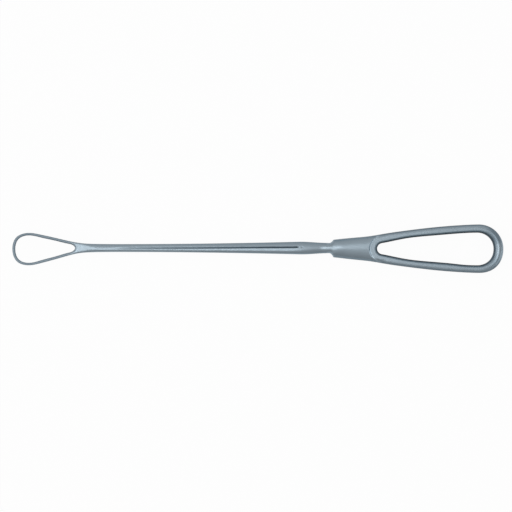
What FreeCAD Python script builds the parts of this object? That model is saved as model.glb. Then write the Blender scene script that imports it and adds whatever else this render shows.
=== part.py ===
import FreeCAD, Part
import math
import os

# A uterine curette, forged from one bar of stainless steel, lying on its back.
# Sizes are in millimetres and angles in degrees.
# X runs from the loop to the handle, Y across the tool and Z up from the table.
# The origin is under the middle of the length, on the handle's centre line.

Vector = FreeCAD.Vector

# Whole tool
length = 310.0
shaft_offset = 0.35         # the shaft lies this far to one side of the handle's centre line
section_points = 16         # points round each lofted section

# Handle bow, a long closed ring with flat faces
handle_length = 107.3       # shoulder to bow end
bow_width = 30.6
bow_depth = 7.0
bow_fullness = 1.6          # how early the bars spread: 1 is straight, 2 is round
bar_width = 5.2
end_bar_width = 6.2
nose_radius = 3.5           # the window's small end
nose_land = 5.3             # flat land between the ferrule and the window
nose_lean = 10.0            # how far the bars lean outwards where they leave the nose
bow_outer_round = 2.0
window_bevel = 0.9
bar_root_inset = 0.3        # the bars start this far inside the ferrule's sides
bar_root_setback = 0.5      # and this far behind its widest section

# Ferrule, the cone between the shaft and the bow
ferrule_length = 22.2
ferrule_front_width = 11.1
ferrule_rear_width = 15.7
ferrule_rear_depth = 9.8
ferrule_rear_squareness = 2.7
ferrule_front_offset = 0.15 # its front end leans a little towards the shaft's line
ferrule_corner_bevel = 0.35
ferrule_run_out = 14.0      # how far its flanks run on along the bars before they fade
run_out_middle_inset = 0.1  # halfway along and at its end, how far the run-out lies inside the bars
run_out_end_inset = 0.8
run_out_flatness = 0.9
window_clearance = 0.3      # the ferrule stays this far from the window's bevel

# Shaft, an oval rod that swells towards the handle
shaft_flatness = 0.84       # depth as a share of width
slim_width = 4.95
swell_width = 8.0
neck_width = 6.45
slim_from_crotch = 27.4
swell_from_shoulder = 20.8
swell_growth = 1.9          # 1 grows evenly, more grows later
flare_length = 2.6          # hollow curve from the neck out to the shoulder
flare_bury = 0.15           # how far the flare's rim lies inside the ferrule
nose_run = 18.0             # the shaft's rounded nose, which dies into the loop's plate

# Where the shaft's oval sections stand, as shares of each stretch, and how far it has changed there
nose_sections = (0.01, 0.08, 0.3, 0.65)
taper_sections = (0.0, 0.35, 0.6, 0.8)
narrowing_sections = ((0.0, 0.0), (0.24, 0.04), (0.5, 0.36), (0.75, 0.75))
flare_sections = ((0.0, 0.0), (0.3, 0.15), (0.52, 0.4), (0.76, 0.72), (1.0, 1.0))

# Groove along the crest of the shaft
groove_from_crotch = 24.0
groove_to_shoulder = 22.4
groove_start_width = 1.4
groove_start_depth = 0.12
groove_end_width = 0.8
groove_end_depth = 0.6
notch_floor = 0.33          # width of the groove's floor as a share of its mouth
punch_width = 1.3           # round mark just past the end of the groove
punch_depth = 0.35
punch_from_groove = 2.6

# Loop, a teardrop ring with a rounded outside and a bevelled eye
loop_length = 39.6          # tip to crotch
loop_width = 20.4
loop_depth = 2.4
loop_skew = 1.3             # the loop turns this far about the crotch
widest_from_tip = 10.2
tip_fullness = 0.737        # 0.707 is a true circle, more is squarer
arm_angle = 13.8
crotch_width = 7.4          # outside width level with the crotch
crotch_radius = 1.6
rim_at_tip = 2.0
rim_at_side = 1.55
rim_at_arm = 1.75
loop_outer_round = 0.65
loop_bevel = 0.5
plate_run_on = 22.0         # how far the loop's plate runs on into the shaft
plate_end_inset = 0.4       # its buried end lies this far inside the shaft's sides
# The hollow neck: shares of the run-on, and how far its sides stand outside the slim shaft's
neck_sections = ((0.45, 0.2), (0.2, 0.55))

# Places along the tool
tip_x = -length / 2
end_x = length / 2
shoulder_x = end_x - handle_length
ferrule_end_x = shoulder_x + ferrule_length
bar_root_x = ferrule_end_x + bar_root_setback
nose_centre_x = ferrule_end_x + nose_land + nose_radius
bow_centre_x = end_x - bow_width / 2
window_radius = bow_width / 2 - bar_width
window_centre_x = end_x - end_bar_width - window_radius
crotch_x = tip_x + loop_length
slim_x = crotch_x + slim_from_crotch
swell_x = shoulder_x - swell_from_shoulder
flare_x = shoulder_x - flare_length
groove_start_x = crotch_x + groove_from_crotch
groove_stop_x = shoulder_x - groove_to_shoulder
middle_z = ferrule_rear_depth / 2


def curve(points, start, finish):
    # one smooth edge through the points, leaving and arriving in the directions given
    line = Part.BSplineCurve()
    line.interpolate(Points=points, InitialTangent=start, FinalTangent=finish)
    return line.toShape()


def closed_curve(points):
    line = Part.BSplineCurve()
    line.interpolate(Points=points, PeriodicFlag=True)
    return line.toShape()


def mirrored(edge):
    return edge.mirror(Vector(0, 0, 0), Vector(0, 1, 0))


def mirrored_points(points):
    # the same points on the other side of the centre line, in the opposite order
    return [Vector(point.x, -point.y, 0) for point in reversed(points)]


def prism(wire, low, high):
    # a flat outline drawn at z = 0, raised between two heights
    face = Part.Face(wire)
    solid = face.extrude(Vector(0, 0, high - low))
    solid.translate(Vector(0, 0, low))
    return solid


def edges_along(solid, outline, heights):
    # the edges of a plate that follow an outline at the given heights
    found = []
    for edge in solid.Edges:
        middle = edge.valueAt((edge.FirstParameter + edge.LastParameter) / 2)
        if min(abs(middle.z - height) for height in heights) > 0.001:
            continue
        flat = Part.Vertex(middle.x, middle.y, 0)
        if flat.distToShape(outline)[0] < 0.01:
            found.append(edge)
    return found


def section(x, y, z, width, depth, squareness=2.0):
    # a closed curve across the tool: an ellipse at squareness 2, fuller above it
    points = []
    for step in range(section_points):
        angle = 2 * math.pi * step / section_points
        across = math.copysign(abs(math.cos(angle)) ** (2 / squareness), math.cos(angle))
        up = math.copysign(abs(math.sin(angle)) ** (2 / squareness), math.sin(angle))
        points.append(Vector(x, y + across * width / 2, z + up * depth / 2))
    return Part.Wire(closed_curve(points))


def oval(x, y, width, notch_width=0.0, notch_depth=0.0):
    # an ellipse across the tool, as flat as the shaft, with or without a notch in its crest
    depth = width * shaft_flatness
    ellipse = Part.Ellipse(Vector(0, 0, 0), width / 2, depth / 2)
    if notch_depth == 0:
        edges = [ellipse.toShape()]
    else:
        mouth = math.asin(notch_width / width)
        arc = Part.Arc(ellipse, math.pi / 2 + mouth, 2.5 * math.pi - mouth).toShape()
        left = arc.firstVertex().Point
        right = arc.lastVertex().Point
        floor_left = Vector(-notch_width * notch_floor / 2, depth / 2 - notch_depth, 0)
        floor_right = Vector(notch_width * notch_floor / 2, depth / 2 - notch_depth, 0)
        edges = [
            arc,
            Part.LineSegment(right, floor_right).toShape(),
            Part.LineSegment(floor_right, floor_left).toShape(),
            Part.LineSegment(floor_left, left).toShape(),
        ]
    outline = Part.Wire(edges)
    outline.Placement = FreeCAD.Placement(
        Vector(x, y, middle_z),
        FreeCAD.Rotation(Vector(0, 1, 0), Vector(0, 0, 1), Vector(1, 0, 0), "ZXY"),
    )
    return outline


def bow_half_width(x):
    # half the outside width of the bow between the ferrule and the end circle
    share = (x - ferrule_end_x) / (bow_centre_x - ferrule_end_x)
    spread = 1 - (1 - share) ** bow_fullness
    front = ferrule_rear_width / 2
    return front + (bow_width / 2 - front) * spread


def bow_outline():
    # two spreading bars joined by a half circle, closed off inside the ferrule
    start = bar_root_x
    span = bow_centre_x - start
    along_x = Vector(1, 0, 0)
    stations = [start + span * share for share in (0.0, 0.3, 0.6, 0.85)]
    points = [Vector(x, bow_half_width(x), 0) for x in stations]
    points[0].y -= bar_root_inset
    points.append(Vector(bow_centre_x, bow_width / 2, 0))
    lean = Vector(stations[1] - stations[0], points[1].y - points[0].y, 0)
    side = curve(points, lean, along_x)
    end_arc = Part.Arc(
        Vector(bow_centre_x, bow_width / 2, 0),
        Vector(end_x, 0, 0),
        Vector(bow_centre_x, -bow_width / 2, 0),
    ).toShape()
    front = Part.LineSegment(points[0], Vector(start, -points[0].y, 0)).toShape()
    return Part.Wire(Part.__sortEdges__([side, end_arc, mirrored(side), front]))


def window_outline():
    # the long eye of the handle: a small nose, two spreading sides and a half circle
    lean = math.radians(nose_lean)
    nose_side = Vector(
        nose_centre_x - nose_radius * math.sin(lean),
        nose_radius * math.cos(lean),
        0,
    )
    span = window_centre_x - nose_side.x
    points = [nose_side]
    for share in (0.25, 0.55, 0.8):
        x = nose_side.x + span * share
        points.append(Vector(x, bow_half_width(x) - bar_width, 0))
    points.append(Vector(window_centre_x, window_radius, 0))
    side = curve(points, Vector(math.cos(lean), math.sin(lean), 0), Vector(1, 0, 0))
    nose = Part.Arc(
        nose_side,
        Vector(nose_centre_x - nose_radius, 0, 0),
        Vector(nose_side.x, -nose_side.y, 0),
    ).toShape()
    end_arc = Part.Arc(
        Vector(window_centre_x, window_radius, 0),
        Vector(window_centre_x + window_radius, 0, 0),
        Vector(window_centre_x, -window_radius, 0),
    ).toShape()
    return Part.Wire(Part.__sortEdges__([nose, side, end_arc, mirrored(side)]))


def make_bow():
    low = middle_z - bow_depth / 2
    high = middle_z + bow_depth / 2
    outline = bow_outline()
    window = window_outline()
    bow = prism(outline, low, high)
    rims = [edge for edge in edges_along(bow, outline, (low, high))
            if edge.BoundBox.XMax > bar_root_x + 0.01]
    bow = bow.makeFillet(bow_outer_round, rims)
    bow = bow.cut(prism(window, low - 1, high + 1))
    return bow.makeChamfer(window_bevel, edges_along(bow, window, (low, high)))


def make_ferrule():
    # a cone that starts oval, grows square shouldered and fades into the bars
    bevel = ferrule_corner_bevel
    run_out_middle = ferrule_end_x + ferrule_run_out / 2
    run_out_end = ferrule_end_x + ferrule_run_out
    front_depth = ferrule_front_width * shaft_flatness
    middle_width = (ferrule_front_width + ferrule_rear_width) / 2
    middle_depth = (front_depth + ferrule_rear_depth) / 2
    middle_squareness = (2.0 + ferrule_rear_squareness) / 2
    stations = [
        (shoulder_x, ferrule_front_offset, ferrule_front_width - 2 * bevel,
         front_depth - 2 * bevel, 2.0),
        (shoulder_x + bevel, ferrule_front_offset, ferrule_front_width, front_depth, 2.0),
        (shoulder_x + ferrule_length / 2, ferrule_front_offset / 2, middle_width, middle_depth,
         middle_squareness),
        (ferrule_end_x, 0, ferrule_rear_width, ferrule_rear_depth, ferrule_rear_squareness),
        (run_out_middle, 0, 2 * (bow_half_width(run_out_middle) - run_out_middle_inset),
         ferrule_rear_depth * run_out_flatness, ferrule_rear_squareness),
        (run_out_end, 0, 2 * (bow_half_width(run_out_end) - run_out_end_inset),
         bow_depth * run_out_flatness, ferrule_rear_squareness),
    ]
    wires = [section(x, y, middle_z, width, depth, squareness)
             for x, y, width, depth, squareness in stations]
    ferrule = Part.makeLoft(wires, True, True)

    # the flat land round the window's nose is let into the ferrule on both faces
    land_radius = nose_radius + nose_land
    reach = bow_width
    for low, high in (
        (middle_z + bow_depth / 2, middle_z + reach),
        (middle_z - reach, middle_z - bow_depth / 2),
    ):
        disc = Part.makeCylinder(land_radius, high - low, Vector(nose_centre_x, 0, low))
        slot = Part.makeBox(reach, 2 * reach, high - low, Vector(nose_centre_x, -reach, low))
        ferrule = ferrule.cut(disc).cut(slot)

    # the ferrule keeps clear of the window and its bevelled rims
    window = Part.Face(window_outline()).makeOffset2D(window_bevel + window_clearance)
    clearance = prism(window.OuterWire, middle_z - reach, middle_z + reach)
    return ferrule.cut(clearance)


def groove_share(x):
    # how far along the groove a place is
    return (x - groove_start_x) / (groove_stop_x - groove_start_x)


def grooved_oval(x):
    # the groove is wide and shallow at first, then narrow and deep
    share = groove_share(x)
    width = groove_start_width + (groove_end_width - groove_start_width) * share
    depth = groove_start_depth + (groove_end_depth - groove_start_depth) * share
    return oval(x, shaft_offset, taper_width(x), width, depth)


def taper_width(x):
    # the rod's width from the slim end to the swell
    share = max(0.0, (x - slim_x) / (swell_x - slim_x))
    return slim_width + (swell_width - slim_width) * share ** swell_growth


def nose_width(x):
    return slim_width * math.sqrt(1 - ((slim_x - x) / nose_run) ** 2)


def make_nose():
    # the rod's front end, as far as the groove
    ovals = [oval(x, shaft_offset, nose_width(x))
             for x in (slim_x - nose_run * (1 - share) for share in nose_sections)]
    ovals.append(oval(groove_start_x, shaft_offset, nose_width(groove_start_x)))
    return Part.makeLoft(ovals, True, True)


def make_grooved_rod():
    places = [groove_start_x]
    places += [slim_x + (swell_x - slim_x) * share for share in taper_sections]
    places.append(groove_stop_x)
    return Part.makeLoft([grooved_oval(x) for x in places], True, True)


def make_rear_rod():
    # from the groove's end over the swell and the narrow neck to the flare
    ovals = [(groove_stop_x, shaft_offset, taper_width(groove_stop_x))]
    for share, change in narrowing_sections:
        x = swell_x + (flare_x - swell_x) * share
        ovals.append((x, shaft_offset, swell_width + (neck_width - swell_width) * change))

    # the flare ends a little way inside the ferrule and moves over to its centre
    rim_width = ferrule_front_width - 2 * ferrule_corner_bevel
    for share, change in flare_sections:
        x = flare_x + (flare_length + flare_bury) * share
        y = shaft_offset + (ferrule_front_offset - shaft_offset) * change
        ovals.append((x, y, neck_width + (rim_width - neck_width) * change))
    rod = Part.makeLoft([oval(x, y, width) for x, y, width in ovals], True, True)

    # a small round dimple in line with the groove, just past its end
    crest = middle_z + swell_width / 2 * shaft_flatness
    bottom = Vector(groove_stop_x + punch_from_groove, shaft_offset, crest - punch_depth)
    return rod.cut(Part.makeCone(0.1, punch_width, punch_depth * 2, bottom))


def make_shaft():
    return make_nose().fuse(make_grooved_rod()).fuse(make_rear_rod())


def loop_point(ahead, across):
    # a point given by its distance ahead of the crotch
    return Vector(crotch_x - ahead, across, 0)


def arm_half_width(ahead):
    # the straight outer side of an arm
    return crotch_width / 2 + ahead * math.tan(math.radians(arm_angle))


def loop_outline():
    # teardrop: blunt tip, straight arms, then a hollow curve into the neck
    half = loop_width / 2
    widest = loop_length - widest_from_tip
    side = [loop_point(-plate_run_on, slim_width / 2 - plate_end_inset)]
    for share, outside in neck_sections:
        side.append(loop_point(-plate_run_on * share, slim_width / 2 + outside))
    for share in (0.0, 0.28, 0.55):
        ahead = loop_length * share
        side.append(loop_point(ahead, arm_half_width(ahead)))
    side.append(loop_point(widest, half))
    side.append(loop_point(widest + widest_from_tip * tip_fullness, half * tip_fullness))
    points = side + [loop_point(loop_length, 0)] + mirrored_points(side)
    for point in points:
        # the neck turns back onto the shaft's line, because the whole loop is turned later
        point.y -= max(0.0, point.x - crotch_x) * math.tan(math.radians(loop_skew))
    edge = curve(points, Vector(-1, 0, 0), Vector(1, 0, 0))
    back = Part.LineSegment(points[-1], points[0]).toShape()
    return Part.Wire([edge, back])


def eye_outline():
    # the opening of the loop, set in from the outside by the width of the rim
    half = loop_width / 2 - rim_at_side
    widest = loop_length - widest_from_tip
    eye_tip = loop_length - rim_at_tip
    arm_inset = rim_at_arm / math.cos(math.radians(arm_angle))
    corner = math.sqrt(0.5)
    side = [loop_point(crotch_radius * (1 - corner), crotch_radius * corner)]
    for share in (0.13, 0.28, 0.55):
        ahead = loop_length * share
        side.append(loop_point(ahead, arm_half_width(ahead) - arm_inset))
    side.append(loop_point(widest, half))
    side.append(loop_point(widest + (eye_tip - widest) * tip_fullness, half * tip_fullness))
    points = [loop_point(0, 0)] + side + [loop_point(eye_tip, 0)] + mirrored_points(side)
    return Part.Wire(closed_curve(points))


def make_loop():
    low = middle_z - loop_depth / 2
    high = middle_z + loop_depth / 2
    outline = loop_outline()
    eye = eye_outline()
    loop = prism(outline, low, high)
    rims = [edge for edge in edges_along(loop, outline, (low, high))
            if edge.BoundBox.XMin < crotch_x + plate_run_on - 0.01]
    loop = loop.makeFillet(loop_outer_round, rims)
    loop = loop.cut(prism(eye, low - 1, high + 1))
    loop = loop.makeChamfer(loop_bevel, edges_along(loop, eye, (low, high)))
    loop.rotate(Vector(crotch_x, 0, 0), Vector(0, 0, 1), loop_skew)
    loop.translate(Vector(0, shaft_offset, 0))
    return loop


def make_curette():
    return make_loop().fuse(make_shaft()).fuse(make_ferrule()).fuse(make_bow())


os.makedirs("parts", exist_ok=True)
curette = make_curette()
print("curette", curette.ShapeType, "solids", len(curette.Solids), "valid", curette.isValid())
print("volume", round(curette.Volume, 1), "box", curette.BoundBox)
curette.Solids[0].exportStep("parts/curette.step")
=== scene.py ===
import math

import bmesh
import bpy
import numpy as np
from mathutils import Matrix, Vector


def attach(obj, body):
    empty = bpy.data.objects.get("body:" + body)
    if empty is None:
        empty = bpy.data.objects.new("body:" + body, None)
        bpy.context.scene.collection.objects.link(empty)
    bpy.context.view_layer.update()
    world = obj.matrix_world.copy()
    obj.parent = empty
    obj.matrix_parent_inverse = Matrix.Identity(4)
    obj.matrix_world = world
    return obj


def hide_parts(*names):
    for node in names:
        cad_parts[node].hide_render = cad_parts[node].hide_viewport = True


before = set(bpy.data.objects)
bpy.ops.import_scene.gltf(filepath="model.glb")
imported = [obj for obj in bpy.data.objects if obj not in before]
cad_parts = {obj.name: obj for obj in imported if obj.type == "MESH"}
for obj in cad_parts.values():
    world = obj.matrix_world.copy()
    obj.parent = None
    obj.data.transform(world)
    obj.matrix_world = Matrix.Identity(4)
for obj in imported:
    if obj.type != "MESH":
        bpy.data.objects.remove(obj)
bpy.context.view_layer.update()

mm = 0.001


# Small helpers

class Wire:
    # a node socket that sums can be written with
    def __init__(self, tree, socket):
        self.tree = tree
        self.socket = socket

    def math(self, operation, *others):
        return node(self.tree, "ShaderNodeMath", {"operation": operation}, (self,) + others)

    def __add__(self, other):
        return self.math("ADD", other)

    def __sub__(self, other):
        return self.math("SUBTRACT", other)

    def __rsub__(self, other):
        return node(self.tree, "ShaderNodeMath", {"operation": "SUBTRACT"}, (other, self))

    def __mul__(self, other):
        return self.math("MULTIPLY", other)

    def __pow__(self, other):
        return self.math("POWER", other)

    __radd__ = __add__
    __rmul__ = __mul__


def node(tree, kind, settings=None, inputs=(), output=0):
    # adds one node, sets it up, then fills or links its sockets by place or by name
    made = tree.nodes.new(kind)
    for name, value in (settings or {}).items():
        setattr(made, name, value)
    pairs = inputs.items() if isinstance(inputs, dict) else enumerate(inputs)
    for key, value in pairs:
        if isinstance(value, Wire):
            tree.links.new(value.socket, made.inputs[key])
        else:
            made.inputs[key].default_value = value
    return Wire(tree, made.outputs[output]) if len(made.outputs) else None


def ease(low, high, value):
    # 0 below low, 1 above high and a smooth step between; it falls where low is the larger
    share = np.clip((np.asarray(value, float) - low) / (high - low), 0, 1)
    return share * share * (3 - 2 * share)


def between(first, last, share):
    # from the first value at share 0 to the last at share 1
    return first + (last - first) * share


def softMin(a, b, width):
    # the smaller of two heights, with the corner between them rounded
    overlap = np.clip(width - np.abs(a - b), 0, None)
    return np.minimum(a, b) - overlap * overlap / (4 * width)


def runAlong(line):
    # how far each point lies from the start, measured along the line
    return np.concatenate([[0], np.cumsum(np.linalg.norm(np.diff(line, axis=0), axis=1))])


def pointsAt(line, places):
    # the points that lie at these distances along a line
    run = runAlong(line)
    return np.stack([np.interp(places, run, line[:, axis]) for axis in range(line.shape[1])], axis=1)


def evenly(line, spacing):
    # the same line with its points spaced out evenly
    length = runAlong(line)[-1]
    count = max(2, int(round(length / spacing)) + 1)
    return pointsAt(line, np.linspace(0, length, count))


def smoothLine(points, start, finish, spacing):
    # an even run of points along the smooth curve through a few points, with set end directions
    points = np.array(points, float)
    gaps = np.diff(runAlong(points))
    count = len(points)
    matrix = np.zeros((count, count))
    right = np.zeros((count, 2))
    matrix[0, 0] = matrix[-1, -1] = 1
    right[0] = np.array(start, float) / np.linalg.norm(start)
    right[-1] = np.array(finish, float) / np.linalg.norm(finish)
    for i in range(1, count - 1):
        matrix[i, i - 1] = gaps[i]
        matrix[i, i] = 2 * (gaps[i] + gaps[i - 1])
        matrix[i, i + 1] = gaps[i - 1]
        ahead = (points[i + 1] - points[i]) / gaps[i] * gaps[i - 1]
        behind = (points[i] - points[i - 1]) / gaps[i - 1] * gaps[i]
        right[i] = 3 * (ahead + behind)
    slopes = np.linalg.solve(matrix, right)
    fine = []
    for i in range(count - 1):
        t = np.linspace(0, 1, detail["curveCount"], endpoint=i == count - 2)[:, None]
        fine.append((2 * t**3 - 3 * t**2 + 1) * points[i] + (t**3 - 2 * t**2 + t) * gaps[i] * slopes[i]
                    + (3 * t**2 - 2 * t**3) * points[i + 1] + (t**3 - t**2) * gaps[i] * slopes[i + 1])
    return evenly(np.concatenate(fine), spacing)


def distanceTo(points, line):
    # how far each point lies from a line, in plan
    start, run = line[:-1], np.diff(line, axis=0)
    square = (run ** 2).sum(1)
    found = []
    for chunk in np.array_split(points, max(1, len(points) // detail["chunk"])):
        offset = chunk[:, None, :] - start[None]
        share = np.clip((offset * run[None]).sum(2) / square[None], 0, 1)
        found.append(np.linalg.norm(offset - share[..., None] * run[None], axis=2).min(1))
    return np.concatenate(found)


# The outlines, in millimetres and degrees

whole = {
    "tip": -154.98,         # loop tip
    "end": 154.96,          # end of the bow
    "middle": 4.9,          # height of the tool's middle plane above the table
    "shaftAxis": 0.4,       # the shaft lies a little to one side of the bow's axis
    "bodyFrom": -130.0,     # between these two places each side of the tool is a single line
    "bodyTo": 135.0,
}

loop = {
    "length": 39.6,         # tip to crotch
    "width": 20.4,
    "height": 1.2,          # half the thickness
    "skew": 1.3,            # how far the loop leans, turned about its crotch
    "skewRun": (8.0, -2.0),     # the lean grows between these places behind the crotch
    "widest": 10.2,         # from the tip
    "tipFullness": 0.742,
    "armAngle": 13.8,
    "armPins": (0.55, 0.28, 0.0),   # points on the arm, as shares of the length ahead of the crotch
    "crotchWidth": 7.4,
    "crotchRadius": 1.35,
    "crotchShape": (0.3, 0.75),     # first point beside the crotch, in radii
    "rimTip": 1.8,
    "rimSide": 1.55,
    "rimArm": 1.75,
    "eyePins": ((0.12, 0.12), (0.28, 0.0), (0.55, 0.0)),    # share of the length, extra rim
    "outerRound": 1.0,
    "edgeSquareness": 2.3,
    "bevelWidth": 0.75,
    "bevelDepth": 0.55,
    "bevelSoftness": 0.35,  # how far the corner between bevel and top is rounded
    "hollowRun": 22.0,      # length of the neck's hollow sides, behind the crotch
    "hollowPins": ((0.2, 0.55), (0.45, 0.2), (1.0, 0.02)),  # share of it, extra over the shaft
}

neck = {
    "start": 4.2,           # first row of the body, behind the crotch
    "lead": 1.0,            # the neck's section starts to change this far ahead of that row
    "merge": 4.0,           # and the loop's skin runs into the neck's over this length
    "height": 1.224,        # half the thickness at its start
    "squareness": 4.0,
    "roundRun": 7.0,        # where it has the shaft's section
    "thickRun": 10.0,       # where it has the shaft's thickness
    "leanRun": 12.0,        # where it leans as the shaft does, and the groove is on its line
}

shaft = {
    "slimWidth": 4.95,
    "swellWidth": 8.0,
    "waistWidth": 6.45,
    "slimAt": -88.0,
    "swellAt": 26.9,
    "waistAt": 44.6,
    "waistPin": (1.0, 0.05),    # point half way from swell to waist: shift along, and inwards
    "growth": 1.9,
    "flatness": 0.84,       # thickness for each width
    "slimSquareness": 2.5,
    "squareness": 2.8,      # the rod is a little flat on top
    "squareRun": (-100.0, -60.0),
    "swellSquareness": 2.15,    # and grows round towards the ferrule
    "swellRun": 12.0,
    "roll": 0.16,           # the flat leans a little to the lower side
    "rollEnd": 6.0,         # the lean fades out from swell to waist, this far ahead of both
}

groove = {
    "start": -91.4,
    "end": 25.4,
    "startWidth": 1.4,
    "endWidth": 0.95,
    "startDepth": 0.16,
    "endDepth": 0.65,
    "startShift": -0.25,    # sideways from the shaft's axis
    "endShift": 0.55,
    "shiftRun": 3.0,        # this far past its end the rows of the net start back to the axis
    "flat": 0.12,           # half the flat floor, as a share of the width
    "fadeIn": 6.0,
    "stopRun": (-0.4, 0.3),     # it ends between these places from its end
    "skin": 0.5,            # only metal this far above the middle plane is pressed
    "punchAfter": 2.4,      # a small round dimple past its end
    "punchWidth": 1.3,
    "punchDepth": 0.3,
    "ripple": 0.005,        # height of the faint hammered ripple
    "rippleScale": 260.0,
    "rippleStretch": (0.35, 1.0, 0.0),
}

ferrule = {
    "front": 47.7,
    "frontWidth": 11.1,
    "frontAxis": 0.12,
    "rear": 69.9,
    "rearWidth": 15.7,
    "rearHeight": 4.87,
    "heightGrowth": 1.7,
    "coneBulge": 0.05,
    "frontSlope": 0.11,
    "rearSlope": 0.125,
    "squareness": 2.5,
    "squareRun": 2.0,       # it has its full squareness this far past its rear
    "flareAt": 45.4,
    "flareStart": 0.06,     # how much wider than the waist it is there
    "flareSlope": 0.62,
    "roll": -0.045,         # its crest leans a little to the upper side
    "rollRun": 4.0,
    "crease": 0.1,          # and its lower side falls away from a faint line along the crest
    "rise": (38.4, 53.2),   # seen from the side, the shaft thickens gently into the ferrule
}

bow = {
    "width": 30.6,
    "height": 3.5,
    "fullness": 1.6,
    "sidePins": (0.0, 0.15, 0.3, 0.6, 0.85),    # points on the side, as shares of its length
    "bar": 5.2,
    "barPins": ((0.25, -0.22), (0.55, 0.0), (0.8, 0.0)),    # share of the window, extra bar
    "endBar": 6.2,
    "noseRadius": 3.5,
    "noseLand": 5.3,
    "noseLean": 10.0,
    "outerRound": 2.5,
    "innerRound": 1.6,
    "endOuterRound": 2.6,
    "endInnerRound": 3.5,
    "endRun": (-15.2, -5.0),    # the end bar's roundings start and are full here, from the end
    "edgeSquareness": 2.7,
    "endSoftness": 0.6,     # how much less square the end's outer edge is
    "stepAt": 70.0,         # the hollow step from the ferrule down to the flat land
    "stepWidth": 0.6,
    "stepRadius": 7.8,
    "stepStraight": 7.3,    # its line is straight further out than this
    "stepFade": 7.0,        # where the ferrule is lower than the bow, it runs out over this length
    "lowerFullness": 2.2,   # the end circle is a little squarer on its lower side
    "lowerSwell": 0.35,     # and the window reaches a little further out there,
    "lowerSwellIn": (-20.0, -6.0),  # between these places from the centre of its end
    "lowerSwellOut": (13.0, -1.0),
}

detail = {                  # gaps between the points of each line
    "loop": 0.25,
    "eye": 0.2,
    "shaft": 1.0,
    "waist": 0.5,
    "flare": 0.15,
    "cone": 0.4,
    "bar": 0.5,
    "window": 0.4,
    "curveCount": 60,       # points between two pins of a curve
    "roundCount": 90,       # on the quarter turn at the end of bow and window
    "noseCount": 24,        # and on each side of the window's nose
    "chunk": 400,           # distances are worked out for about this many points at a time
}

crotchX = whole["tip"] + loop["length"]
firstX = crotchX + neck["start"]


def bowHalfWidth(x):
    # half the outside width between the ferrule and the end circle
    centre = whole["end"] - bow["width"] / 2
    front = ferrule["rearWidth"] / 2
    share = np.clip((x - ferrule["rear"]) / (centre - ferrule["rear"]), 0, 1)
    return between(front, bow["width"] / 2, 1 - (1 - share) ** bow["fullness"])


def shaftHalfWidth(x):
    # half the width of the rod between its slim end and the swell
    share = np.clip((x - shaft["slimAt"]) / (shaft["swellAt"] - shaft["slimAt"]), 0, 1)
    return between(shaft["slimWidth"], shaft["swellWidth"], share ** shaft["growth"]) / 2


def turnLoop(points):
    # leans the loop about its crotch and sets it on the shaft's line
    lean = math.radians(loop["skew"])
    x, y = points[:, 0] - crotchX, points[:, 1]
    turned = np.stack([crotchX + x * math.cos(lean) - y * math.sin(lean),
                       x * math.sin(lean) + y * math.cos(lean)], axis=1)
    return between(points, turned, ease(*loop["skewRun"], x)[:, None]) + [0, whole["shaftAxis"]]


def armSide(share, inset=0.0):
    # a point on the straight side of an arm, a share of the loop's length ahead of the crotch
    lean = math.radians(loop["armAngle"])
    ahead = loop["length"] * share
    return (crotchX - ahead, loop["crotchWidth"] / 2 + ahead * math.tan(lean) - inset / math.cos(lean))


def loopOuterSide(sign):
    # from the loop's tip along one arm and the hollow neck to the slim end of the shaft
    tip, half = whole["tip"], loop["width"] / 2
    full = loop["widest"] * (1 - loop["tipFullness"])
    slim = shaft["slimWidth"] / 2
    points = [(tip, 0), (tip + full, half * loop["tipFullness"]), (tip + loop["widest"], half)]
    points += [armSide(share) for share in loop["armPins"]]
    points += [(crotchX + loop["hollowRun"] * share, slim + extra) for share, extra in loop["hollowPins"]]
    points += [(shaft["slimAt"], slim)]
    return turnLoop(smoothLine(points, (0, 1), (1, 0), detail["loop"]) * [1, sign])


def eyeLine():
    # the closed outline of the loop's eye, starting at the crotch and running round by the upper arm
    tip, half = whole["tip"] + loop["rimTip"], loop["width"] / 2 - loop["rimSide"]
    widest = whole["tip"] + loop["widest"]
    ahead, aside = loop["crotchShape"]
    points = [(crotchX, 0), (crotchX - loop["crotchRadius"] * ahead, loop["crotchRadius"] * aside)]
    points += [armSide(share, loop["rimArm"] + extra) for share, extra in loop["eyePins"]]
    points += [(widest, half)]
    points += [(widest - (widest - tip) * loop["tipFullness"], half * loop["tipFullness"]), (tip, 0)]
    upper = smoothLine(points, (0, 1), (0, -1), detail["eye"])
    lower = (upper * [1, -1])[::-1]
    return turnLoop(np.concatenate([upper, lower[1:]]))


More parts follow.
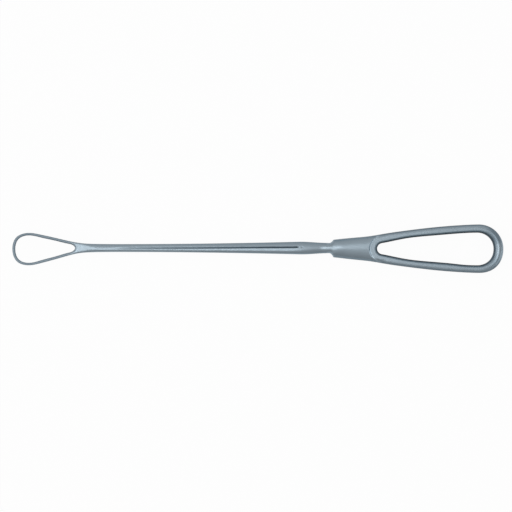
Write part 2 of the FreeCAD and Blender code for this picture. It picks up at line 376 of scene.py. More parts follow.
def bodySide(sign):
    # from the slim end of the shaft over the swell, waist, flare and ferrule to the bow
    xs = np.arange(shaft["slimAt"], shaft["swellAt"], detail["shaft"])
    rod = np.stack([xs, shaftHalfWidth(xs)], axis=1)
    waistHalf = shaft["waistWidth"] / 2
    shift, inset = shaft["waistPin"]
    waist = smoothLine([
        (shaft["swellAt"], shaft["swellWidth"] / 2),
        ((shaft["swellAt"] + shaft["waistAt"]) / 2 + shift,
         (shaft["swellWidth"] + shaft["waistWidth"]) / 4 - inset),
        (shaft["waistAt"], waistHalf),
    ], (1, 0), (1, 0), detail["waist"])
    line = np.concatenate([rod, waist]) * [1, sign] + [0, whole["shaftAxis"]]
    corner = (ferrule["front"], ferrule["frontAxis"] + sign * ferrule["frontWidth"] / 2)
    flare = smoothLine([
        (shaft["waistAt"], whole["shaftAxis"] + sign * waistHalf),
        (ferrule["flareAt"], whole["shaftAxis"] + sign * (waistHalf + ferrule["flareStart"])),
        corner,
    ], (1, 0), (ferrule["flareSlope"], sign), detail["flare"])
    coneHalf = (ferrule["frontWidth"] + ferrule["rearWidth"]) / 4 + ferrule["coneBulge"]
    cone = smoothLine([
        corner,
        ((ferrule["front"] + ferrule["rear"]) / 2, sign * coneHalf + ferrule["frontAxis"] / 2),
        (ferrule["rear"], sign * ferrule["rearWidth"] / 2),
    ], (1, sign * ferrule["frontSlope"]), (1, sign * ferrule["rearSlope"]), detail["cone"])
    return np.concatenate([line[:-1], flare[:-1], cone])


def roundEnd(centre, radius, fullness=2.0):
    # a quarter turn from the side of a circle to its far end; more than 2 is squarer
    turn = np.linspace(math.pi / 2, 0, detail["roundCount"])
    power = 2 / fullness
    return np.stack([centre + radius * np.cos(turn) ** power, radius * np.sin(turn) ** power], axis=1)


def bowSide(sign):
    # from the ferrule along one bar and round the end to the middle of the end bar
    centre = whole["end"] - bow["width"] / 2
    xs = between(ferrule["rear"], centre, np.array(bow["sidePins"]))
    points = [(x, bowHalfWidth(x)) for x in xs] + [(centre, bow["width"] / 2)]
    bar = smoothLine(points, (1, ferrule["rearSlope"]), (1, 0), detail["bar"])
    arc = roundEnd(centre, bow["width"] / 2, 2.0 if sign > 0 else bow["lowerFullness"])
    return np.concatenate([bar[:-1], arc]) * [1, sign]


def windowLine():
    # the closed outline of the handle's window, starting at its nose and running round by the upper bar
    r, lean = bow["noseRadius"], math.radians(bow["noseLean"])
    noseX = ferrule["rear"] + bow["noseLand"] + r
    radius = bow["width"] / 2 - bow["bar"]
    endX = whole["end"] - bow["endBar"] - radius
    turn = np.linspace(0, math.pi / 2 - lean, detail["noseCount"])
    nose = np.stack([noseX - r * np.cos(turn), r * np.sin(turn)], axis=1)
    span = endX - nose[-1, 0]
    bars = [(nose[-1, 0] + span * share, bow["bar"] + extra) for share, extra in bow["barPins"]]
    points = [tuple(nose[-1])] + [(x, bowHalfWidth(x) - bar) for x, bar in bars] + [(endX, radius)]
    side = smoothLine(points, (math.cos(lean), math.sin(lean)), (1, 0), detail["window"])
    upper = np.concatenate([nose[:-1], side[:-1], roundEnd(endX, radius)])
    lower = np.concatenate([nose[:-1], side[:-1], roundEnd(endX, radius, bow["lowerFullness"])])
    fromEnd = lower[:, 0] - endX
    swell = ease(*bow["lowerSwellIn"], fromEnd) * ease(*bow["lowerSwellOut"], fromEnd)
    lower[:, 1] += bow["lowerSwell"] * swell
    return np.concatenate([upper, (lower * [1, -1])[::-1][1:]])


upperSide = np.concatenate([loopOuterSide(1), bodySide(1)[1:], bowSide(1)[1:]])
lowerSide = np.concatenate([loopOuterSide(-1), bodySide(-1)[1:], bowSide(-1)[1:]])
outerLine = np.concatenate([upperSide, lowerSide[::-1][1:]])
eye = eyeLine()
window = windowLine()
bodyUpper, bodyLower = [
    side[(side[:, 0] > whole["bodyFrom"]) & (side[:, 0] < whole["bodyTo"])]
    for side in (upperSide, lowerSide)]
print("outlines")


# The upper skin: how high the metal stands above the middle plane at each place in plan

def halfSpan(x):
    # the middle and half width of the tool's body at each x, from the outlines
    top = np.interp(x, bodyUpper[:, 0], bodyUpper[:, 1])
    low = np.interp(x, bodyLower[:, 0], bodyLower[:, 1])
    return (top + low) / 2, (top - low) / 2


def bodyHeight(x):
    # half the thickness of the body along its length
    thick = ease(firstX - neck["lead"], firstX + neck["thickRun"], x)
    rod = between(neck["height"], halfSpan(x)[1] * shaft["flatness"], thick)
    waist = shaft["waistWidth"] / 2 * shaft["flatness"]
    front = ferrule["frontWidth"] / 2 * shaft["flatness"]
    along = np.clip((x - ferrule["front"]) / (ferrule["rear"] - ferrule["front"]), 0, 1)
    cone = between(front, ferrule["rearHeight"], 1 - (1 - along) ** ferrule["heightGrowth"])
    return between(np.where(x > shaft["waistAt"], waist, rod), cone, ease(*ferrule["rise"], x))


def bodySquareness(x):
    # 2 is an ellipse, more is squarer
    rod = between(shaft["slimSquareness"], shaft["squareness"], ease(*shaft["squareRun"], x))
    rod = between(neck["squareness"], rod, ease(firstX - neck["lead"], firstX + neck["roundRun"], x))
    swell = ease(shaft["swellAt"] - shaft["swellRun"], shaft["swellAt"] + shaft["swellRun"], x)
    rod = between(rod, shaft["swellSquareness"], swell)
    rear = ease(ferrule["front"], ferrule["rear"] + ferrule["squareRun"], x)
    cone = between(shaft["swellSquareness"], ferrule["squareness"], rear)
    return np.where(x > ferrule["front"], cone, rod)


def roundEdge(distance, radius, n):
    # 0 at an edge, rising to 1 at a distance inwards from it
    share = 1 - np.clip(distance / radius, 0, 1)
    return np.clip(1 - share ** n, 0, None) ** (1 / n)


def bodySkin(x, y):
    # an oval section that leans a little, with a faint crease on the ferrule
    middle, half = halfSpan(x)
    n = bodySquareness(x)
    share = np.clip((y - middle) / half, -1, 1)
    onRod = ease(firstX, firstX + neck["leanRun"], x)
    onRod = onRod * ease(shaft["waistAt"] - shaft["rollEnd"], shaft["swellAt"] - shaft["rollEnd"], x)
    onCone = ease(shaft["waistAt"], ferrule["front"] + ferrule["rollRun"], x)
    roll = shaft["roll"] * onRod + ferrule["roll"] * onCone
    lean = 1 - roll * share - ferrule["crease"] * onCone * np.clip(-share, 0, None)
    return bodyHeight(x) * lean * np.clip(1 - np.abs(share) ** n, 0, None) ** (1 / n)


def grooveAt(x):
    # how far along the groove each x lies, with the groove's sideways shift and width there
    share = np.clip((x - groove["start"]) / (groove["end"] - groove["start"]), 0, 1)
    shift = between(groove["startShift"], groove["endShift"], share)
    return share, shift, between(groove["startWidth"], groove["endWidth"], share)


def rowShift(x):
    # how far the middle of a row of the net lies from the shaft's axis, so that it follows the groove
    ahead = ease(firstX - neck["lead"], firstX + neck["leanRun"], x)
    past = ease(shaft["waistAt"], groove["end"] + groove["shiftRun"], x)
    return grooveAt(x)[1] * ahead * past


def stepLine(y):
    # the x of the step between ferrule and bow, for each y
    r = bow["stepRadius"]
    return bow["stepAt"] + r - np.sqrt(r * r - np.clip(np.abs(y), 0, bow["stepStraight"]) ** 2)


def loopSkin(plan):
    # a rim with a rounded outer edge and a bevel towards the eye
    x, y = plan.T
    edge = roundEdge(distanceTo(plan, outerLine), loop["outerRound"], loop["edgeSquareness"])
    outer = between(loop["height"] * edge, bodySkin(x, y), ease(firstX - neck["merge"], firstX, x))
    into = distanceTo(plan, eye) / loop["bevelWidth"]
    bevel = loop["height"] - loop["bevelDepth"] + loop["bevelDepth"] * into
    return softMin(outer, bevel, loop["bevelSoftness"])


def bowSkin(plan):
    # bars rounded towards both edges, with the step down from the ferrule
    x, y = plan.T
    atEnd = ease(*bow["endRun"], x - whole["end"])
    radius = between(bow["outerRound"], bow["endOuterRound"], atEnd)
    n = bow["edgeSquareness"] - bow["endSoftness"] * atEnd
    rim = bow["height"] * roundEdge(distanceTo(plan, outerLine), radius, n)
    body = bodySkin(x, y)
    past = x - stepLine(y)
    step = 1 - ease(0, bow["stepWidth"], past)
    fade = 1 - ease(0, bow["stepFade"], past)
    outer = rim + (body - rim) * np.where(body > rim, step, fade)
    inward = between(bow["innerRound"], bow["endInnerRound"], atEnd)
    into = np.clip(distanceTo(plan, window) / inward, 0, 1)
    return outer - inward * (1 - np.sqrt(1 - (1 - into) ** 2))


# The net of points: a ring for the loop, rows for the body and a ring for the bow

net = {
    "across": 11,           # columns on each side of the groove's band
    "band": (0.9, 0.7, 0.54, 0.4, 0.27, 0.13, 0.0),
    "fine": 0.5,            # between rows on neck, waist and ferrule
    "coarse": 1.0,          # on the shaft
    "fineBefore": 6.0,      # the fine rows start this far ahead of the swell
    "flare": 0.15,          # on the flare
    "fineGap": 0.2,         # the last fine row stays this far ahead of the next run of rows
    "flareGap": 0.1,        # and the flare's last row this far ahead of the ferrule
    "corner": (0.0, 0.03, 0.1, 0.2, 0.4, 0.7),  # rows behind the ferrule's front corner
    "afterCorner": 1.1,     # where the fine rows go on
    "bendRun": 6.0,         # the last rows bend to the line of the step over this length
    "bendRows": 16,
    "loopStep": 0.5,        # between stations round the loop
    "bowStep": 0.8,         # and round the bow
    "straightRun": 9.0,     # how far from the body the stations have come square to the ring
    "search": 0.1,          # step of the search for the place nearest to an outer point
    "smooth": 4,            # neighbours on each side that a station is evened out with
    "eyeFacing": 3.2,       # length of the eye's outline, on each side, that faces the body
    "windowFacing": 5.3,
    "eyeCuts": (0.0, 0.14, 0.28, 0.42, 0.52, 0.6),      # points inwards from the eye
    "loopBodyCuts": tuple(np.linspace(0, 0.95, 9)),     # and from the body's first row
    "bowBodyCuts": (0.0, 0.015, 0.05, 0.1, 0.18, 0.29, 0.43, 0.6, 0.8, 1.0),    # and its last row
    "bodyCutsRun": 6,       # stations over which the body's cuts turn into the rim's
    "windowCuts": 8,        # how many points there are inwards from the window
    "loopMiddles": 3,       # and between the inner and the outer cuts
    "bowMiddles": 6,
    "merge": 0.002,         # points closer than this become one
    "flat": 0.0005,         # edges shorter than this go
    "sharp": 36.0,          # degrees from which an edge shows as a corner
}


def columnPlaces(half, shift=0.0):
    # where the columns cross the body, from the upper edge to the lower, as shares of its half width
    band = np.array(net["band"])
    band = (np.concatenate([band, -band[:-1][::-1]]) + shift) / half
    upper = np.cos(np.linspace(0, math.acos(band[0]), net["across"] + 1)[:-1])
    lower = -np.cos(np.linspace(0, math.acos(-band[-1]), net["across"] + 1)[:-1])[::-1]
    return np.concatenate([upper, band, lower])


def bodyRow(x):
    # one row of points across the body; x may bend along the row
    x = np.asarray(x, float) * np.ones(2 * (net["across"] + len(net["band"])) - 1)
    share = columnPlaces(float(np.mean(halfSpan(x)[1])), float(rowShift(np.mean(x))))
    middle, half = halfSpan(x)
    y = middle + half * share
    z = bodySkin(x, y)
    z[0] = z[-1] = 0
    return np.stack([x, y, z], axis=1)


def bodyRows():
    # every row of the body, from the neck to the step
    front = ferrule["front"]
    fineFrom = shaft["swellAt"] - net["fineBefore"]
    bendFrom = bow["stepAt"] - net["bendRun"]
    straight = np.concatenate([
        np.arange(firstX, shaft["slimAt"], net["fine"]),
        np.arange(shaft["slimAt"], fineFrom, net["coarse"]),
        np.arange(fineFrom, shaft["waistAt"] - net["fineGap"], net["fine"]),
        np.arange(shaft["waistAt"], front - net["flareGap"], net["flare"]),
        front + np.array(net["corner"]),
        np.arange(front + net["afterCorner"], bendFrom - net["fineGap"], net["fine"]),
    ])
    rows = [bodyRow(x) for x in straight]
    half = ferrule["rearWidth"] / 2
    target = stepLine(columnPlaces(half) * half)
    rows += [bodyRow(between(bendFrom, target, along)) for along in np.linspace(0, 1, net["bendRows"])]
    return np.array(rows)


def ringStations(inner, row, facingRun, step, left):
    # pairs of inner and outer points right round a ring: first those that end on the body's row
    total = runAlong(inner)[-1]
    middle, half = (row[0, 1] + row[-1, 1]) / 2, (row[0, 1] - row[-1, 1]) / 2
    facing = pointsAt(inner, np.mod(facingRun * (row[:, 1] - middle) / half, total))
    rest = evenly(outerPart(row[0, :2], row[-1, :2], left), step)
    spaced = np.arange(0, total, net["search"])
    fine = pointsAt(inner, spaced)
    nearest = np.array([spaced[np.argmin(((fine - point) ** 2).sum(1))] for point in rest])
    run = runAlong(rest)
    keep = (run > net["straightRun"]) & (run < run[-1] - net["straightRun"])
    places = np.interp(run, np.concatenate([[0], run[keep], [run[-1]]]),
                       np.concatenate([[facingRun], nearest[keep], [total - facingRun]]))
    smooth = net["smooth"]
    kernel = np.hanning(2 * smooth + 1)
    before = 2 * places[0] - places[smooth:0:-1]
    after = 2 * places[-1] - places[-2:-2 - smooth:-1]
    places = np.convolve(np.concatenate([before, places, after]), kernel / kernel.sum(), "valid")
    ring = pointsAt(inner, np.mod(places, total))
    return np.concatenate([facing[::-1], ring[1:-1]]), np.concatenate([row[::-1, :2], rest[1:-1]])


def outerPart(start, finish, left):
    # the part of the outer outline from one body edge to the other, round one end of the tool
    first = int(np.argmin(((upperSide - start) ** 2).sum(1)))
    last = int(np.argmin(((lowerSide - finish) ** 2).sum(1)))
    if left:
        return np.concatenate([[start], upperSide[:first][::-1], lowerSide[1:last], [finish]])
    return np.concatenate([[start], upperSide[first + 1:], lowerSide[last + 1:][::-1][1:], [finish]])


def ringGrid(inner, outer, row, skin, innerCuts, outerCuts, bodyCuts, middleCount):
    # points across every station; the first column is the foot of the inner wall
    facing = len(row)
    grid = []
    for place in range(len(inner)):
        chord = float(np.linalg.norm(outer[place] - inner[place]))
        share = 0.0
        if place < facing:
            share = float(ease(0, net["bodyCutsRun"], min(place, facing - 1 - place)))
        outerPlaces = chord - between(outerCuts, bodyCuts, share)[::-1]
        middles = np.linspace(innerCuts[-1], outerPlaces[0], middleCount + 2)[1:-1]
        grid.append(np.concatenate([innerCuts, middles, outerPlaces]) / chord)
    plan = between(inner[:, None, :], outer[:, None, :], np.array(grid)[:, :, None])
    height = skin(plan.reshape(-1, 2)).reshape(plan.shape[:2])
    height[:facing, -1] = row[::-1, 2]
    height[facing:, -1] = 0
    points = np.concatenate([plan, height[:, :, None]], axis=2)
    return np.concatenate([points[:, :1] * [1, 1, 0], points], axis=1)


def edgeCuts(radius, n, count):
    # places inwards from an edge, closest together where the rounding is steepest
    turns = np.linspace(0, math.pi / 2, count)
    return radius * (1 - np.cos(turns) ** (2 / n))


def quadsOf(rows, columns, closed):
    # corner numbers of the faces of a grid
    index = np.arange(rows * columns).reshape(rows, columns)
    nextRow = np.roll(index, -1, axis=0) if closed else index[1:]
    here = index if closed else index[:-1]
    return np.stack([here[:, :-1], here[:, 1:], nextRow[:, 1:], nextRow[:, :-1]], axis=-1).reshape(-1, 4)


# Marks on the points, which the finish reads: painted shade, a painted highlight and matt roughness; a pair
# is where a mark starts and where it is full

# painted shade: steep sides are painted darker than the faces
paintedSideShade = {
    "steep": (0.9, 0.5),        # how upright the surface's direction is
    "flareIn": (-2.0, 0.0),     # from the waist: the flare gets less of the painted shade
    "flareOut": (0.6, 0.2),     # from the ferrule's front
    "flareKeeps": 0.5,
    "stepIn": (-1.0, 0.0),      # past the line of the step, which gets none of the painted shade
    "stepOut": (3.5, 2.0),
    "stepInside": (0.0, 1.5),   # from the tool's outer edge
    "lowerSide": (0.0, -1.0),   # from the shaft's axis: the lower side is painted lighter
    "lowerOut": (35.0, 28.0),
    "lowerKeeps": 0.2,
    "slimRun": (-20.0, -85.0),
    "slimKeeps": 0.5,           # and lighter still where the shaft is slim
    "barsIn": (0.0, 8.0),       # behind the ferrule: the bow's sides get more painted shade
    "barsExtra": 0.4,
    "endIn": (-3.2, -1.5),      # from the end: its outermost edge gets less painted shade again
    "bendIn": (-12.0, -6.0),    # from the end: both bends are painted darker than its middle
    "upperBend": (1.5, 5.5),
    "lowerBend": (3.0, 7.0),
    "lowerBendShare": 0.6,
    "bendShade": 0.45,
}
# painted highlight along the edge of the step above the handle's land
paintedLipHighlight = {
    "in": (-0.4, 0.0),          # past the line of the step
    "out": (0.5, 0.0),          # past the foot of the step
    "lower": (-0.5, -2.5),      # brightest on the lower side
    "upperShare": 0.3,
    "lowerEnd": (-7.6, -5.8),
}
# painted shade in the groove
paintedGrooveShade = {
    "side": (0.45, 0.1),        # from its line, in widths
    "startRun": (0.0, 20.0),
    "endRun": (0.4, -0.4),
    "startShare": 0.35,         # the shallow start is lighter than the deep end
}
# painted shade on the inner walls of eye and window
paintedWallShade = {
    "eye": (0.6, 0.5, 0.4, 0.25, 0.1),      # columns from the foot of the wall up over its edge
    "window": (1.0, 1.0, 1.0, 1.0, 1.0, 0.95, 0.85, 0.55, 0.2),
    "endRun": (-14.0, -8.0),    # from the end, where light falls into the window
    "endLighter": 0.5,
    "lowerEnd": (-1.5, -5.5),
    "lowerEndLighter": 0.6,
}
mattLoop = {"run": (-1.0, -6.0)}    # ahead of the crotch


def paintedWallShadeMarks(grid, shares):
    # painted shade: how hidden each point of a ring's inner wall is
    marked = np.zeros(grid.shape[:2])
    x, y = grid[:, :1, 0], grid[:, :1, 1]
    atEnd = ease(*paintedWallShade["endRun"], x - whole["end"])
    atEnd = atEnd * (1 + paintedWallShade["lowerEndLighter"] * ease(*paintedWallShade["lowerEnd"], y))
    marked[:, :len(shares)] = np.array(shares) * (1 - paintedWallShade["endLighter"] * atEnd)
    return marked


def paintedSideShadeMarks(x, y, upright, past, inside):
    # painted shade: the steep sides are painted darker than the faces
    look = paintedSideShade
    flare = ease(*look["flareIn"], x - shaft["waistAt"]) * ease(*look["flareOut"], x - ferrule["front"])
    step = ease(*look["stepIn"], past) * ease(*look["stepOut"], past) * inside
    lower = look["lowerKeeps"] + look["slimKeeps"] * ease(*look["slimRun"], x)
    lower = lower * ease(*look["lowerSide"], y - whole["shaftAxis"]) * ease(*look["lowerOut"], x)
    bars = look["barsExtra"] * ease(*look["barsIn"], x - ferrule["rear"])
    farEnd = ease(*look["endIn"], x - whole["end"])
    side = ease(*look["steep"], upright) * (1 - look["flareKeeps"] * flare)
    side = side * (1 - step) * (1 - lower) * (1 + bars - farEnd)
    bends = ease(*look["upperBend"], y) + look["lowerBendShare"] * ease(*look["lowerBend"], -y)
    bends = bends * ease(*look["bendIn"], x - whole["end"])
    return side + look["bendShade"] * bends * (1 - np.clip(side, 0, 1))


def paintedLipHighlightMarks(y, past, inside):
    # painted highlight: the step's edge is painted brighter
    look = paintedLipHighlight
    lipHighlight = ease(*look["in"], past) * ease(*look["out"], past - bow["stepWidth"])
    lower = between(look["upperShare"], 1.0, ease(*look["lower"], y))
    return lipHighlight * lower * ease(*look["lowerEnd"], y) * inside


def paintedGrooveShadeMarks(x, y, z):
    # painted shade: the groove is painted darker on the upper side
    look = paintedGrooveShade
    share, shift, width = grooveAt(x)
    dark = ease(*look["side"], np.abs(y - whole["shaftAxis"] - shift) / width)
    dark = dark * ease(*look["startRun"], x - groove["start"]) * ease(*look["endRun"], x - groove["end"])
    return dark * (z > whole["middle"]) * between(look["startShare"], 1.0, share)


def markFinishAndPaintedLight(mesh):
    # writes the painted shade of the sides and the groove, the painted highlight on the step's edge and how
    # matt each point is
    place = np.empty(len(mesh.vertices) * 3)
    facing = np.empty(len(mesh.vertices) * 3)
    mesh.vertices.foreach_get("co", place)
    mesh.vertex_normals.foreach_get("vector", facing)
    x, y, z = place.reshape(-1, 3).T / mm
    past = x - stepLine(y)
    inside = ease(*paintedSideShade["stepInside"], halfSpan(x)[1] - np.abs(y))
    marks = {
        "side": paintedSideShadeMarks(x, y, np.abs(facing.reshape(-1, 3)[:, 2]), past, inside),
        "lipHighlight": paintedLipHighlightMarks(y, past, inside),
        "groove": paintedGrooveShadeMarks(x, y, z),
        "matt": ease(*mattLoop["run"], x - crotchX),
    }
    for name, values in marks.items():
        mark = mesh.attributes.new(name, "FLOAT", "POINT")
        mark.data.foreach_set("value", values.astype(np.float32))


def makeGrids():
    # the ring of the loop, the rows of the body and the ring of the bow
    rows = bodyRows()
    neckRow, stepRow = rows[0], rows[-1]

    inner, outer = ringStations(eye, neckRow, net["eyeFacing"], net["loopStep"], True)
    loopGrid = ringGrid(
        inner, outer, neckRow, loopSkin, np.array(net["eyeCuts"]),
        edgeCuts(loop["outerRound"], loop["edgeSquareness"], len(net["loopBodyCuts"])),
        np.array(net["loopBodyCuts"]), net["loopMiddles"])

    inner, outer = ringStations(window, stepRow, net["windowFacing"], net["bowStep"], False)
    bowGrid = ringGrid(
        inner, outer, stepRow, bowSkin, edgeCuts(bow["innerRound"], 2, net["windowCuts"]),
        edgeCuts(bow["outerRound"], bow["edgeSquareness"], len(net["bowBodyCuts"])),
        np.array(net["bowBodyCuts"]), net["bowMiddles"])
    return loopGrid, rows, bowGrid


def makeCurette():
    # joins the upper skin and its mirror image into one closed net
    loopGrid, rows, bowGrid = makeGrids()
    hollow = []
    corners = []
    faces = []
    offset = 0
    for grid, closed, flip, walls in (
        (loopGrid, True, False, paintedWallShade["eye"]),
        (rows, False, True, ()),
        (bowGrid, True, True, paintedWallShade["window"]),
    ):
        quads = quadsOf(grid.shape[0], grid.shape[1], closed)
        points = grid.reshape(-1, 3)
        for side in (1, -1):    # the underside is the upper skin mirrored
            corners.append(points * [1, 1, side])
            hollow.append(paintedWallShadeMarks(grid, walls).ravel())
            faces.append((quads if (side > 0) != flip else quads[:, ::-1]) + offset)
            offset += len(points)
    corners = (np.concatenate(corners) + [0, 0, whole["middle"]]) * mm
    faces = np.concatenate(faces)

    mesh = bpy.data.meshes.new("curette_surface")
    mesh.from_pydata(corners.tolist(), [], faces.tolist())
    # the hollow mark carries the painted shade of the inner walls, and their extra roughness
    mark = mesh.attributes.new("hollow", "FLOAT", "POINT")
    mark.data.foreach_set("value", np.concatenate(hollow).astype(np.float32))
    work = bmesh.new()
    work.from_mesh(mesh)
    bmesh.ops.remove_doubles(work, verts=work.verts, dist=net["merge"] * mm)
    bmesh.ops.dissolve_degenerate(work, edges=work.edges, dist=net["flat"] * mm)
    bmesh.ops.recalc_face_normals(work, faces=work.faces)
    loose = sum(1 for edge in work.edges if len(edge.link_faces) != 2)
    print("net", len(work.verts), "points", len(work.faces), "faces", loose, "open edges")
    work.to_mesh(mesh)
    work.free()
    mesh.shade_smooth()
    mesh.set_sharp_from_angle(angle=math.radians(net["sharp"]))
    piece = bpy.data.objects.new("curette_visual", mesh)
    bpy.context.scene.collection.objects.link(piece)
    return piece


def pressTree():
    # presses the groove, the dimple and a faint hammered ripple into the upper skin
    tree = bpy.data.node_groups.new("press marks", "GeometryNodeTree")
    face = tree.interface
    face.new_socket("Geometry", in_out="INPUT", socket_type="NodeSocketGeometry")
    for name, value in (
        ("Start", groove["start"]), ("End", groove["end"]),
        ("Start Width", groove["startWidth"]), ("End Width", groove["endWidth"]),
        ("Start Depth", groove["startDepth"]), ("End Depth", groove["endDepth"]),
        ("Start Line", whole["shaftAxis"] + groove["startShift"]),
        ("End Line", whole["shaftAxis"] + groove["endShift"]),
        ("Fade In", groove["fadeIn"]),
        ("Dimple Place", groove["end"] + groove["punchAfter"]),
        ("Dimple Width", groove["punchWidth"]), ("Dimple Depth", groove["punchDepth"]),
        ("Ripple", groove["ripple"]),
    ):
        face.new_socket(name, in_out="INPUT", socket_type="NodeSocketFloat").default_value = value * mm
    face.new_socket("Material", in_out="INPUT", socket_type="NodeSocketMaterial")
    face.new_socket("Geometry", in_out="OUTPUT", socket_type="NodeSocketGeometry")
    entry = tree.nodes.new("NodeGroupInput")
    size = {socket.name: Wire(tree, socket) for socket in entry.outputs if socket.name}

    place = node(tree, "GeometryNodeInputPosition")
    x, y, z = [node(tree, "ShaderNodeSeparateXYZ", inputs=(place,), output=axis) for axis in "XYZ"]
    upper = z.math("GREATER_THAN", (whole["middle"] + groove["skin"]) * mm)

    def mapped(low, high, value, start=0.0, finish=1.0, kind="LINEAR"):
        return node(tree, "ShaderNodeMapRange", {"interpolation_type": kind}, {
            "Value": value, "From Min": low, "From Max": high, "To Min": start, "To Max": finish})

    share = mapped(size["Start"], size["End"], x)
    width = mapped(0.0, 1.0, share, size["Start Width"], size["End Width"])
    depth = mapped(0.0, 1.0, share, size["Start Depth"], size["End Depth"])
    line = mapped(0.0, 1.0, share, size["Start Line"], size["End Line"])
    offLine = (y - line).math("ABSOLUTE")
    across = mapped(width * groove["flat"], width * 0.5, offLine, 1.0, 0.0)
    fadeIn = mapped(size["Start"], size["Start"] + size["Fade In"], x)
    stopFrom, stopBy = groove["stopRun"]
    stop = mapped(size["End"] + stopFrom * mm, size["End"] + stopBy * mm, x, 1.0, 0.0)
    pressed = depth * across * fadeIn * stop

    fromDimple = ((x - size["Dimple Place"]) ** 2.0 + (y - size["End Line"]) ** 2.0) ** 0.5
    inDimple = mapped(0.0, size["Dimple Width"] * 0.5, fromDimple, 1.0, 0.0, "SMOOTHSTEP")
    dimple = size["Dimple Depth"] * inDimple

    stretched = node(
        tree, "ShaderNodeVectorMath", {"operation": "MULTIPLY"}, (place, groove["rippleStretch"]))
    wave = node(tree, "ShaderNodeTexNoise", output="Fac", inputs={
        "Vector": stretched, "Scale": groove["rippleScale"], "Detail": 1.0})
    ripple = (wave - 0.5) * size["Ripple"]

    drop = (ripple - pressed.math("MAXIMUM", dimple)) * upper
    offset = node(tree, "ShaderNodeCombineXYZ", inputs={"Z": drop})
    moved = node(tree, "GeometryNodeSetPosition", inputs={"Geometry": size["Geometry"], "Offset": offset})
    real = node(tree, "GeometryNodeRealizeInstances", inputs=(moved,))
    finished = node(tree, "GeometryNodeSetMaterial", inputs={"Geometry": real, "Material": size["Material"]})
    node(tree, "NodeGroupOutput", inputs={"Geometry": finished})
    return tree


def pressMarks(piece, material):
    # runs the tree on the piece and keeps the result as a plain mesh
    modifier = piece.modifiers.new("press marks", "NODES")
    modifier.node_group = pressTree()
    for item in modifier.node_group.interface.items_tree:
        if item.name == "Material":
            modifier[item.identifier] = material
    ready = piece.evaluated_get(bpy.context.evaluated_depsgraph_get())
    mesh = bpy.data.meshes.new_from_object(ready)
    piece.modifiers.remove(modifier)
    piece.data = mesh
    markFinishAndPaintedLight(mesh)


# Satin steel

steel = {
    "colour": (0.338, 0.411, 0.465),
    "coolShade": (0.8, 1.0, 1.12),  # the cool tint that the painted shade takes
    "roughness": 0.4,
    "mattRoughness": 0.22,  # the loop is left rougher than the rest
    "wallRoughness": 0.12,  # and so are the hidden walls
    "sideShade": 0.5,       # painted shade: how much darker the steep sides are painted than the faces
    "wallShade": 0.62,      # the same painted shade for the hidden walls of window and eye
    "grooveShade": 0.7,     # and the painted shade in the groove
    "lipHighlightGain": 1.1,        # painted highlight: how much brighter the step's edge above the handle's land is painted
    "clouds": 140.0,        # soft patches left by polishing
    "cloudTone": 0.08,
    "cloudRoughness": 0.08,
    "grain": 3200.0,        # fine matt grain
    "grainRoughness": 0.04,
    "grainBump": 0.05,
    "grainHeight": 0.05,    # in millimetres
}


def satinSteel():
    # one satin finish; the marks paint shade and a highlight into its colour and make it rougher in places
    material = bpy.data.materials.new("satin steel")
    material.use_nodes = True
    tree = material.node_tree
    tree.nodes.clear()
    place = node(tree, "ShaderNodeTexCoord", output="Object")
    # the side, hollow and groove marks carry painted shade, the step's edge mark a painted highlight; matt
    # is only roughness
    side, lipHighlight, hollow, grooveShadeMark, matt = [
        node(tree, "ShaderNodeAttribute", {"attribute_name": name}, output="Fac")
        for name in ("side", "lipHighlight", "hollow", "groove", "matt")]
    grain, clouds = [
        node(tree, "ShaderNodeTexNoise", inputs={"Vector": place, "Scale": scale, "Detail": detail})
        for scale, detail in ((steel["grain"], 3.0), (steel["clouds"], 4.0))]

    def mixed(blend, share, a, b):
        return node(tree, "ShaderNodeMix", {"data_type": "RGBA", "blend_type": blend},
                    {"Factor": share, "A": a, "B": b}, output="Result")

    # painted shade of steep sides, inner walls and groove, times random patches, with the painted highlight
    # on top
    shade = (1 - side * steel["sideShade"]) * (1 - hollow * steel["wallShade"])
    shade = shade * (1 - grooveShadeMark * steel["grooveShade"])
    patches = clouds * steel["cloudTone"] + (1 - steel["cloudTone"] / 2)
    tone = shade * patches * (1 + lipHighlight * steel["lipHighlightGain"])
    tint = mixed("MULTIPLY", 1.0, steel["colour"] + (1,), tone)
    # the painted shade takes a cool tint
    cool = mixed("MIX", shade, steel["coolShade"] + (1,), (1, 1, 1, 1))
    tint = mixed("MULTIPLY", 1.0, tint, cool)
    rough = (clouds - 0.5) * steel["cloudRoughness"] + (grain - 0.5) * steel["grainRoughness"]
    rough = rough + hollow * steel["wallRoughness"] + matt * steel["mattRoughness"] + steel["roughness"]
    bump = node(tree, "ShaderNodeBump", inputs={
        "Height": grain, "Strength": steel["grainBump"], "Distance": steel["grainHeight"] * mm})
    shader = node(tree, "ShaderNodeBsdfPrincipled", inputs={
        "Base Color": tint, "Metallic": 1.0, "Roughness": rough, "Normal": bump})
    node(tree, "ShaderNodeOutputMaterial", inputs={"Surface": shader})
    return material


piece = makeCurette()
pressMarks(piece, satinSteel())
print("curette", len(piece.data.polygons), "faces")
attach(piece, "root")
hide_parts("curette")
print("material")


# White table top, light and camera

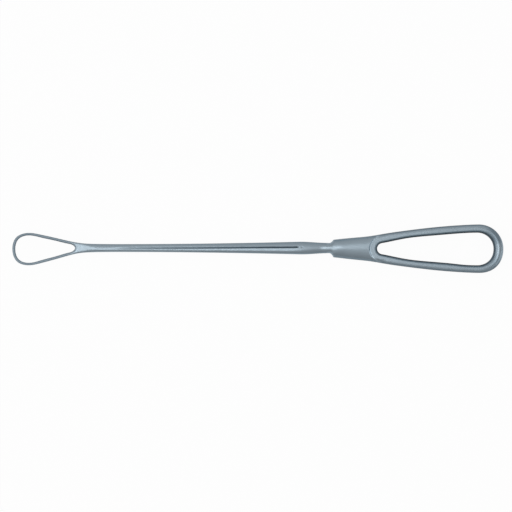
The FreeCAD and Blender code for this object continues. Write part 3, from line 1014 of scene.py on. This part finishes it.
stage = {
    "tableSize": 4,         # metres
    "tableColour": (0.9, 0.9, 0.9, 1),
    "white": 0.955,         # how far the table shows as plain white; the rest takes shadow
    "centre": (-1.17, -4.61),
    "width": 323.2,         # what the picture spans at the tool's middle plane
    "cameraHeight": 1600.0,
    "cameraReach": 10,      # metres
    "sensor": 36.0,
    "roomLevel": 0.40,
}
panels = {                  # places and sizes in metres
    "softbox": {"level": 2.6, "place": (-0.42, 0.08, 1.75), "size": (0.9, 0.86), "aimed": False},
    "panel": {"level": 0.3, "place": (0.0, 1.2, 0.8), "size": (2.4, 1.8), "aimed": True},
    "left panel": {"level": 1.0, "place": (-1.4, 0.0, 0.8), "size": (1.2, 1.0), "aimed": True},
    "front panel": {"level": 0.14, "place": (0.0, -0.9, 1.3), "size": (2.4, 0.9), "aimed": True},
    "right panel": {"level": 0.9, "place": (1.4, -0.5, 0.7), "size": (1.0, 0.9), "aimed": True},
}


def whiteTable():
    # shows as plain white and still takes a faint shadow
    bpy.ops.mesh.primitive_plane_add(size=stage["tableSize"])
    table = bpy.context.object
    table.name = "floor"
    material = bpy.data.materials.new("white table")
    material.use_nodes = True
    tree = material.node_tree
    tree.nodes.clear()
    path = tree.nodes.new("ShaderNodeLightPath")
    seen = Wire(tree, path.outputs["Is Camera Ray"])
    for ray in ("Is Glossy Ray", "Is Transmission Ray"):
        seen = seen.math("MAXIMUM", Wire(tree, path.outputs[ray]))
    diffuse = node(tree, "ShaderNodeBsdfDiffuse", inputs={"Color": stage["tableColour"]})
    white = node(tree, "ShaderNodeEmission", inputs={"Color": (1, 1, 1, 1), "Strength": 1.0})
    mixed = node(tree, "ShaderNodeMixShader", inputs=(seen * stage["white"], diffuse, white))
    node(tree, "ShaderNodeOutputMaterial", inputs={"Surface": mixed})
    table.data.materials.append(material)


def worldLight():
    # even light from all round
    world = bpy.data.worlds.new("room")
    world.use_nodes = True
    tree = world.node_tree
    tree.nodes.clear()
    glow = node(tree, "ShaderNodeBackground", inputs={"Color": (1, 1, 1, 1), "Strength": stage["roomLevel"]})
    node(tree, "ShaderNodeOutputWorld", inputs={"Surface": glow})
    bpy.context.scene.world = world


def areaLight(name, level, place, size, aimed):
    # level is the brightness of the lit panel itself; an aimed panel faces the tool, others face down
    light = bpy.data.lights.new(name, "AREA")
    light.shape = "RECTANGLE"
    light.size, light.size_y = size
    light.energy = level * math.pi * size[0] * size[1]
    lamp = bpy.data.objects.new(name, light)
    lamp.location = place
    if aimed:
        lamp.rotation_euler = (-Vector(place)).to_track_quat("-Z", "Y").to_euler()
    bpy.context.scene.collection.objects.link(lamp)


def camera():
    # looks straight down on the tool
    data = bpy.data.cameras.new("camera")
    data.sensor_width = stage["sensor"]
    data.lens = stage["sensor"] * (stage["cameraHeight"] - whole["middle"]) / stage["width"]
    data.clip_end = stage["cameraReach"]
    view = bpy.data.objects.new("camera", data)
    view.location = (stage["centre"][0] * mm, stage["centre"][1] * mm, stage["cameraHeight"] * mm)
    bpy.context.scene.collection.objects.link(view)
    bpy.context.scene.camera = view


whiteTable()
worldLight()
for name, panel in panels.items():
    areaLight(name, **panel)
camera()
bpy.context.scene.view_settings.view_transform = "Standard"
print("table, light and camera")
